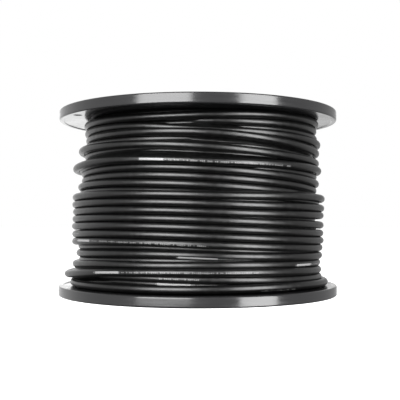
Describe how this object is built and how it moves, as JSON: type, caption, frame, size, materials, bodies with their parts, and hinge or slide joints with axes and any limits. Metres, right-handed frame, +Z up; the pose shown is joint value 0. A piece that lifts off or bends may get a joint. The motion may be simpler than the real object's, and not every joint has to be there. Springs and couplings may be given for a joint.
{
  "type": "network cable spool",
  "caption": "Black moulded plastic spool, two round flanges on a hollow barrel, wound full of round black outdoor network cable.",
  "frame": {"origin": "on the spool's axis, at the level of the floor it stands on", "axes": "+Z up along the spool's axis; -Y faces the camera of the picture"},
  "size_m": [0.267, 0.267, 0.174],
  "materials": {
    "flange_plastic": "glossy black moulded plastic",
    "barrel_plastic": "satin black moulded plastic",
    "cable_jacket": null
  },
  "bodies": {
    "root": {"bottom_flange": "flange_plastic", "top_flange": "flange_plastic", "barrel": "barrel_plastic", "cable_winding": "cable_jacket"}
  },
  "joints": []
}
